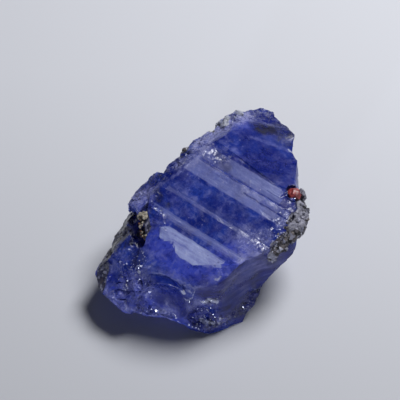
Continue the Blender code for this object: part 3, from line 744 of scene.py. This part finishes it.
def buildCrystal():
    look = crystalLook
    material, tree, shader, place = newMaterial("tanzaniteCrystal")
    mask = {name: painted(tree, name) for name in [*zones, "striped", "dusky"]}
    cloud = {name: noiseValue(tree, place, *values) for name, values in crystalClouds.items()}
    climb = stripePlace(tree, place, upStone, 0.9, 2.0, 0.03)
    along = stripePlace(tree, place, alongStripe, 0.5, 3.0, 0.08)
    mask["clear"] = calc(tree, "SUBTRACT", 1.0, times(tree, mask["inky"], 0.75))  # few veils in the ink
    colour = blendColour(tree, rescale(tree, cloud["clouds"], 0.4, 0.6), look["deep"], look["royal"])
    colour = addLayers(tree, colour, blueLayers, mask, cloud)
    colour, streaks = addBands(tree, colour, mask, cloud, climb, along)
    colour, frost = addSideAndFrost(tree, place, colour, mask, cloud)
    colour, stains = addStains(tree, place, colour, mask, cloud)
    colour, sparkles = addSparkles(tree, place, colour, mask, cloud)

    mask.update(frost=frost, stains=stains)
    roughness = rescale(tree, cloud["patches"], 0.3, 0.7, *look["roughness"])
    for name, more in look["rougher"].items():
        roughness = calc(tree, "ADD", roughness, times(tree, mask[name], more))
    coat = calc(tree, "MAXIMUM", sparkles, times(tree, mask["broken"], mask["glint"]))
    fill(tree, shader, {
        "Base Color": colour, "Roughness": calc(tree, "MINIMUM", roughness, 0.8),
        "Coat Weight": calc(tree, "MULTIPLY", coat, look["glintCoat"], clamp=True),
        "Coat Roughness": look["coatRoughness"], "IOR": look["ior"], "Specular IOR Level": look["shine"],
        "Transmission Weight": look["transmission"],
    })

    # crushed facets where it is broken, faint growth lines on the striped face
    facets = [times(tree, useGroup(tree, brokenFacets, Place=place, Size=size)["Height"], size)
              for size in look["facetSizes"]]
    crushed = rescale(tree, mask["broken"], 0.0, 0.8, *look["facetShare"])
    height = times(tree, calc(tree, "ADD", *facets), crushed)
    height = calc(tree, "ADD", height, times(tree, streaks, mask["striped"], look["growthLines"]))
    height = calc(tree, "ADD", height, times(tree, cloud["grit"], look["gritHeight"]))
    addBump(tree, shader, height, 0.9)
    absorb = addNode(tree, "VolumeAbsorption", {"Color": look["absorb"], "Density": look["density"]})
    fill(tree, tree.nodes["Material Output"], {"Volume": absorb.outputs[0]})
    return material


stone = buildStone(buildCrystal())


def buildMottled(name, look):
    # a softly clouded mineral with small broken facets
    material, tree, shader, place = newMaterial(name)
    mottle = noiseValue(tree, place, *look["mottle"])
    colour = blendColour(tree, rescale(tree, mottle, *look["contrast"]), look["shade"], look["colour"])
    roughness = rescale(tree, mottle, 0.3, 0.7, *look["roughness"])
    fill(tree, shader, {"Base Color": colour, "Roughness": roughness, **look["sockets"]})
    facets = useGroup(tree, brokenFacets, Place=place, Size=look["facetSize"])["Height"]
    addBump(tree, shader, times(tree, facets, look["facetHeight"]), look["bump"])
    return material


garnetLook = {
    "colour": (0.34, 0.05, 0.05, 1), "shade": (0.12, 0.02, 0.026, 1), "mottle": (0.22, 3.0, 0.6),
    "contrast": (0.36, 0.6), "roughness": (0.26, 0.44), "sockets": {},
    "facetSize": 0.2, "facetHeight": 0.1, "bump": 0.5,
}
redGrainShape = {
    "cleaves": 11, "cleaveDepth": (0.43, 0.52), "bevel": 0.03, "seed": 4, "size": 1.12,
    "lift": (0.05, 0.0, -0.25), "flatAngle": math.radians(12),
}


def buildRedGrain(material):
    shape = redGrainShape
    bm = nodeMesh("red_crystal")
    chance = random.Random(shape["seed"])
    for _ in range(shape["cleaves"]):  # flat cleaved sides
        side = Vector((chance.uniform(-1, 1), chance.uniform(-1, 1), chance.uniform(-0.4, 1))).normalized()
        onSide = grainPlace + side * chance.uniform(*shape["cleaveDepth"])
        cut = bmesh.ops.bisect_plane(bm, geom=bm.verts[:] + bm.edges[:] + bm.faces[:], dist=1e-4,
                                     clear_outer=True, plane_co=onSide, plane_no=side)
        rim = [item for item in cut["geom_cut"] if isinstance(item, bmesh.types.BMEdge)]
        bmesh.ops.holes_fill(bm, edges=rim, sides=0)
    bmesh.ops.dissolve_limit(bm, angle_limit=shape["flatAngle"], verts=bm.verts[:], edges=bm.edges[:])
    seat = Matrix.Translation(-grainPlace - Vector(shape["lift"]))
    bmesh.ops.scale(bm, vec=(shape["size"],) * 3, space=seat, verts=bm.verts[:])
    bmesh.ops.bevel(bm, geom=bm.edges[:], offset=shape["bevel"], offset_type="OFFSET", affect="EDGES",
                    segments=1, profile=0.5, material=-1, clamp_overlap=True)
    bmesh.ops.triangulate(bm, faces=bm.faces[:])
    piece = newPiece("redGrain", bm, material)
    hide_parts("red_crystal")
    print("red grain:", len(piece.data.polygons), "faces")


buildRedGrain(buildMottled("redGarnet", garnetLook))

greyTones = [(0.0, (0.11, 0.11, 0.13)), (0.2, (0.16, 0.16, 0.21)), (0.55, (0.22, 0.22, 0.3)),
             (0.85, (0.32, 0.32, 0.41))]
brownTones = [(0.0, (0.014, 0.013, 0.017)), (0.24, (0.052, 0.045, 0.054)), (0.48, (0.105, 0.092, 0.098)),
              (0.7, (0.2, 0.2, 0.26)), (0.9, (0.48, 0.48, 0.57))]
creamTones = [(0.0, (0.16, 0.14, 0.12)), (0.3, (0.3, 0.26, 0.2)), (0.7, (0.42, 0.38, 0.32))]
rustTones = [(0.0, (0.01, 0.008, 0.008)), (0.5, (0.034, 0.02, 0.012)), (0.74, (0.11, 0.036, 0.014)),
             (0.9, (0.32, 0.28, 0.23))]
rockLooks = {
    "paleHostRock": {"tones": greyTones, "soil": brownTones, "roughness": 0.6, "grainSize": 0.24},
    "brownHostRock": {"tones": brownTones, "soil": None, "roughness": 0.55, "grainSize": 0.16},
    "creamHostRock": {"tones": creamTones, "soil": rustTones, "roughness": 0.7, "grainSize": 0.18},
    "rustyHostRock": {"tones": rustTones, "soil": None, "roughness": 0.6, "grainSize": 0.14},
}
rockBlack = (0.012, 0.01, 0.012, 1)


def buildRock(name):
    look = rockLooks[name]
    tones, soilTones, grainSize = look["tones"], look["soil"], look["grainSize"]
    material, tree, shader, place = newMaterial(name)
    grains = useGroup(tree, brokenFacets, Place=place, Size=grainSize)
    dust = noiseValue(tree, place, 0.3, 4.0, 0.7)
    colour = toneRamp(tree, grains["Chance"], tones)
    if soilTones:  # painted soil: brown and black grains over pale, softly clouded rock
        softTone = blendColour(tree, rescale(tree, dust, 0.34, 0.66), (*tones[1][1], 1), (*tones[-1][1], 1))
        colour = blendColour(tree, 0.5, colour, softTone)
        soil = rescale(tree, calc(tree, "ADD", painted(tree, "soiled"), times(tree, dust, 0.9)), 0.7, 0.95)
        colour = blendColour(tree, soil, colour, toneRamp(tree, grains["Chance"], soilTones))
    black = useGroup(tree, speckle, Place=place, Size=0.34, Share=0.22, Reach=0.26)["Mask"]
    colour = blendColour(tree, times(tree, black, 0.7), colour, rockBlack)
    rough = rescale(tree, grains["Chance"], 0.0, 1.0, look["roughness"] + 0.1, look["roughness"] - 0.2)
    fill(tree, shader, {"Base Color": colour, "Roughness": rough})
    height = calc(tree, "ADD", times(tree, grains["Height"], grainSize * 0.6), times(tree, dust, 0.05))
    addBump(tree, shader, height, 0.8)
    return material


rock = {name: buildRock(name) for name in rockLooks}
stoneTree = BVHTree.FromPolygons([vert.co / millimetre for vert in stone.data.vertices],
                                 [tuple(face.vertices) for face in stone.data.polygons])

grainStretch = ((0.8, 1.25), (0.6, 1.0), (0.5, 0.9))
grainDents = 0.16  # as a share of its size


def randomStep(chance):
    return Vector((chance.uniform(-1, 1), chance.uniform(-1, 1), chance.uniform(-1, 1)))


def grainOn(bm, middle, size, chance, subdivisions=1):
    # one broken grain: a small ball, stretched, turned and pushed out of round
    stretch = Matrix.Diagonal([chance.uniform(*reach) for reach in grainStretch] + [1.0])
    angle = chance.uniform(0, 6.28)
    axis = Vector((chance.random(), chance.random(), 0.3)).normalized()
    matrix = Matrix.Translation(middle) @ Matrix.Rotation(angle, 4, axis) @ stretch
    made = bmesh.ops.create_icosphere(bm, subdivisions=subdivisions, radius=size, matrix=matrix)
    for vert in made["verts"]:
        vert.co += randomStep(chance) * size * grainDents


# soiled lines are dark with brown and black grains, the rest stays pale
crustShape = {
    "matrix_right": {
        "piece": "rightCrust", "seat": (-0.07, 0.27, -0.08), "seed": 5,
        "grains": 34, "grainSize": (0.12, 0.3),
        "soiled": [([(4.7, -4.4, 5.8), (4.0, -5.1, 5.9)], 0.45, 0.8),
                   ([(3.4, -5.9, 5.4), (2.0, -6.3, 5.4)], 0.6, 0.8),
                   ([(1.4, -6.2, 5.7), (0.6, -6.1, 5.9), (-0.2, -5.9, 6.0)], 1.0, 1.0)],
    },
    "matrix_left": {
        "piece": "leftCrust", "seat": (0.03, -0.14, -0.02), "seed": 8,
        "grains": 26, "grainSize": (0.08, 0.18),
        "soiled": [([(-5.1, 4.1, 5.9), (-5.4, 4.0, 5.6)], 0.5, 1.0),
                   ([(-5.6, 3.3, 5.8), (-5.95, 3.0, 5.6)], 0.55, 1.0)],
    },
}
crustCuts = 2
crustChips = ((0.1, 0.55, 3.0), (0.04, 0.24, 9.0))  # depth, size and seed


def buildCrust(nodeName, material):
    shape = crustShape[nodeName]
    chance = random.Random(shape["seed"])
    bm = nodeMesh(nodeName)
    bmesh.ops.translate(bm, vec=shape["seat"], verts=bm.verts[:])
    shiftCorners(bm)
    refine(bm, crustCuts)
    moveCorners(bm, [vert.normal * sum(depth * chip(vert.co, size, seed) for depth, size, seed in crustChips)
                     for vert in bm.verts])
    faces = bm.faces[:]
    for _ in range(shape["grains"]):
        middle = chance.choice(faces).calc_center_median()
        grainOn(bm, middle, chance.uniform(*shape["grainSize"]), chance)
    keepInBox(bm)
    soiled = paintZones(cornersOf(bm), shape["soiled"])
    piece = newPiece(shape["piece"], bm, material)
    paintOn(piece, "soiled", soiled)
    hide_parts(nodeName)
    print(shape["piece"] + ":", len(piece.data.polygons), "faces")


buildCrust("matrix_right", rock["paleHostRock"])
buildCrust("matrix_left", rock["creamHostRock"])

frostLook = {
    "colour": (0.68, 0.71, 0.82, 1), "shade": (0.36, 0.39, 0.6, 1), "mottle": (0.5, 4.0, 0.6),
    "contrast": (0.35, 0.65), "roughness": (0.2, 0.38),
    "sockets": {"IOR": 1.55, "Specular IOR Level": 0.35, "Transmission Weight": 0.5},
    "facetSize": 0.3, "facetHeight": 0.16, "bump": 0.7,
}
# sunk is how deep each grain sits in the stone, as a share of its size, and None leaves a heap as it falls
crumbSets = {
    "paleLumps": {"line": [(8.2, 4.9, 5.3), (6.9, 5.1, 5.8), (5.6, 5.3, 5.9)], "count": 13,
                  "size": (0.3, 0.55), "spread": 0.32, "sunk": 0.45, "seed": 21, "slot": "tanzanite"},
    "darkChips": {"line": [(2.2, 5.7, 6.4), (1.7, 5.7, 6.4)], "count": 6,
                  "size": (0.14, 0.26), "spread": 0.22, "sunk": 0.4, "seed": 23, "slot": "matrix_right"},
    "rimChips": {"line": [(5.1, 5.5, 5.9), (4.8, 5.5, 5.9)], "count": 4,
                 "size": (0.1, 0.16), "spread": 0.15, "sunk": 0.3, "seed": 24, "slot": "matrix_right"},
    "rightChips": {"line": [(1.9, -5.2, 6.3), (0.6, -5.5, 6.0), (-0.3, -5.6, 5.8)], "count": 34,
                   "size": (0.14, 0.32), "spread": 0.42, "sunk": 0.4, "seed": 27, "slot": "matrix_right"},
    "grainSide": {"line": [(4.55, -4.35, 5.9), (4.7, -4.25, 6.2), (4.72, -4.0, 6.5)], "count": 26,
                  "size": (0.16, 0.27), "spread": 0.12, "sunk": None, "seed": 29, "slot": "matrix_right"},
    "nickGrains": {"line": [(-5.5, 3.5, 5.6), (-6.0, 3.1, 5.4)], "count": 18,
                   "size": (0.07, 0.15), "spread": 0.22, "sunk": None, "seed": 28, "slot": "matrix_left"},
}


def scatterCrumbs(name, material):
    shape = crumbSets[name]
    chance = random.Random(shape["seed"])
    line = [Vector(point) for point in shape["line"]]
    bm = bmesh.new()
    for _ in range(shape["count"]):
        start = chance.randrange(len(line) - 1)
        middle = line[start].lerp(line[start + 1], chance.random())
        middle += randomStep(chance) * shape["spread"]
        size = chance.uniform(*shape["size"])
        if shape["sunk"] is not None:
            onStone, normal, _, _ = stoneTree.find_nearest(middle)
            middle = onStone - normal * size * shape["sunk"]
        grainOn(bm, middle, size, chance, 2)
    keepInBox(bm)
    piece = newPiece(name, bm, material)
    print(name + ":", len(piece.data.polygons), "faces")


scatterCrumbs("paleLumps", buildMottled("frostedRim", frostLook))
for crumbName in ("darkChips", "rimChips", "rightChips"):
    scatterCrumbs(crumbName, rock["brownHostRock"])
scatterCrumbs("grainSide", rock["paleHostRock"])
scatterCrumbs("nickGrains", rock["rustyHostRock"])


studio = {
    "floorColour": (0.62, 0.635, 0.69), "floorShade": 0.88, "floorSize": 0.7,
    # the floor's paler far side is painted light falloff
    "floorFade": (0.766, 0.643, 0.0), "fadeReach": 18.0,  # the floor pales away from the camera
    "keyDirection": (0.59, -0.02, 0.807), "keyDistance": 0.2, "keySize": 0.094, "keyPower": 0.46,
    "keyColour": (1.0, 1.0, 1.0),
    "fillDirection": (-0.97, -0.23, 0.036), "fillDistance": 0.48, "fillSize": 0.03, "fillPower": 1.52,
    "fillColour": (0.82, 0.87, 1.0),
    "worldColour": (0.82, 0.85, 0.93, 1), "worldStrength": 0.029,
}


def buildFloor():
    material, tree, shader, place = newMaterial("paleFloor")
    # painted light falloff: darker near the camera, paler away from it
    away = vectorCalc(tree, "DOT_PRODUCT", place, studio["floorFade"])
    fade = rescale(tree, away, -studio["fadeReach"], studio["fadeReach"])
    pale = studio["floorColour"]
    shade = [channel * studio["floorShade"] for channel in pale]
    fill(tree, shader, {"Base Color": blendColour(tree, fade, (*shade, 1), (*pale, 1)),
                        "Roughness": 0.75, "Specular IOR Level": 0.2})
    bm = bmesh.new()
    bmesh.ops.create_grid(bm, x_segments=1, y_segments=1, size=studio["floorSize"] / 2)
    newObject("floor", bm, material)


def hangLamp(name):
    lamp = bpy.data.lights.new(name + "Softbox", "AREA")
    lamp.shape = "DISK"
    lamp.size = studio[name + "Size"]
    lamp.energy = studio[name + "Power"]
    lamp.color = studio[name + "Colour"]
    softbox = bpy.data.objects.new(name + "Softbox", lamp)
    direction = Vector(studio[name + "Direction"]).normalized()
    softbox.location = direction * studio[name + "Distance"]
    softbox.rotation_euler = direction.to_track_quat("Z", "Y").to_euler()
    scene.collection.objects.link(softbox)


def buildStudio():
    buildFloor()
    hangLamp("key")
    hangLamp("fill")
    world = bpy.data.worlds.new("studioAir")
    world.use_nodes = True
    fill(world.node_tree, world.node_tree.nodes["Background"],
         {"Color": studio["worldColour"], "Strength": studio["worldStrength"]})
    scene.world = world
    scene.view_settings.view_transform = "Standard"


buildStudio()

cameraView = {
    "azimuth": 50, "elevation": 55, "distance": 0.2, "lens": 223.2,
    "lookAt": (-0.00001, 0.00209, 0.0), "right": -0.000242, "up": 0.002823,
}


def placeCamera():
    view = cameraView
    turn, rise = math.radians(view["azimuth"]), math.radians(view["elevation"])
    look = Vector((math.sin(turn) * math.cos(rise), math.cos(turn) * math.cos(rise), -math.sin(rise)))
    right = Vector((math.cos(turn), -math.sin(turn), 0.0))
    up = right.cross(look)
    target = Vector(view["lookAt"]) + right * view["right"] + up * view["up"]
    lens = bpy.data.cameras.new("camera")
    lens.lens = view["lens"]
    lens.sensor_width = 36.0
    lens.clip_start = 0.01
    camera = bpy.data.objects.new("camera", lens)
    turned = Matrix((right, up, -look)).transposed().to_4x4()
    camera.matrix_world = Matrix.Translation(target - look * view["distance"]) @ turned
    scene.collection.objects.link(camera)
    scene.camera = camera


placeCamera()
print("studio and camera ready")
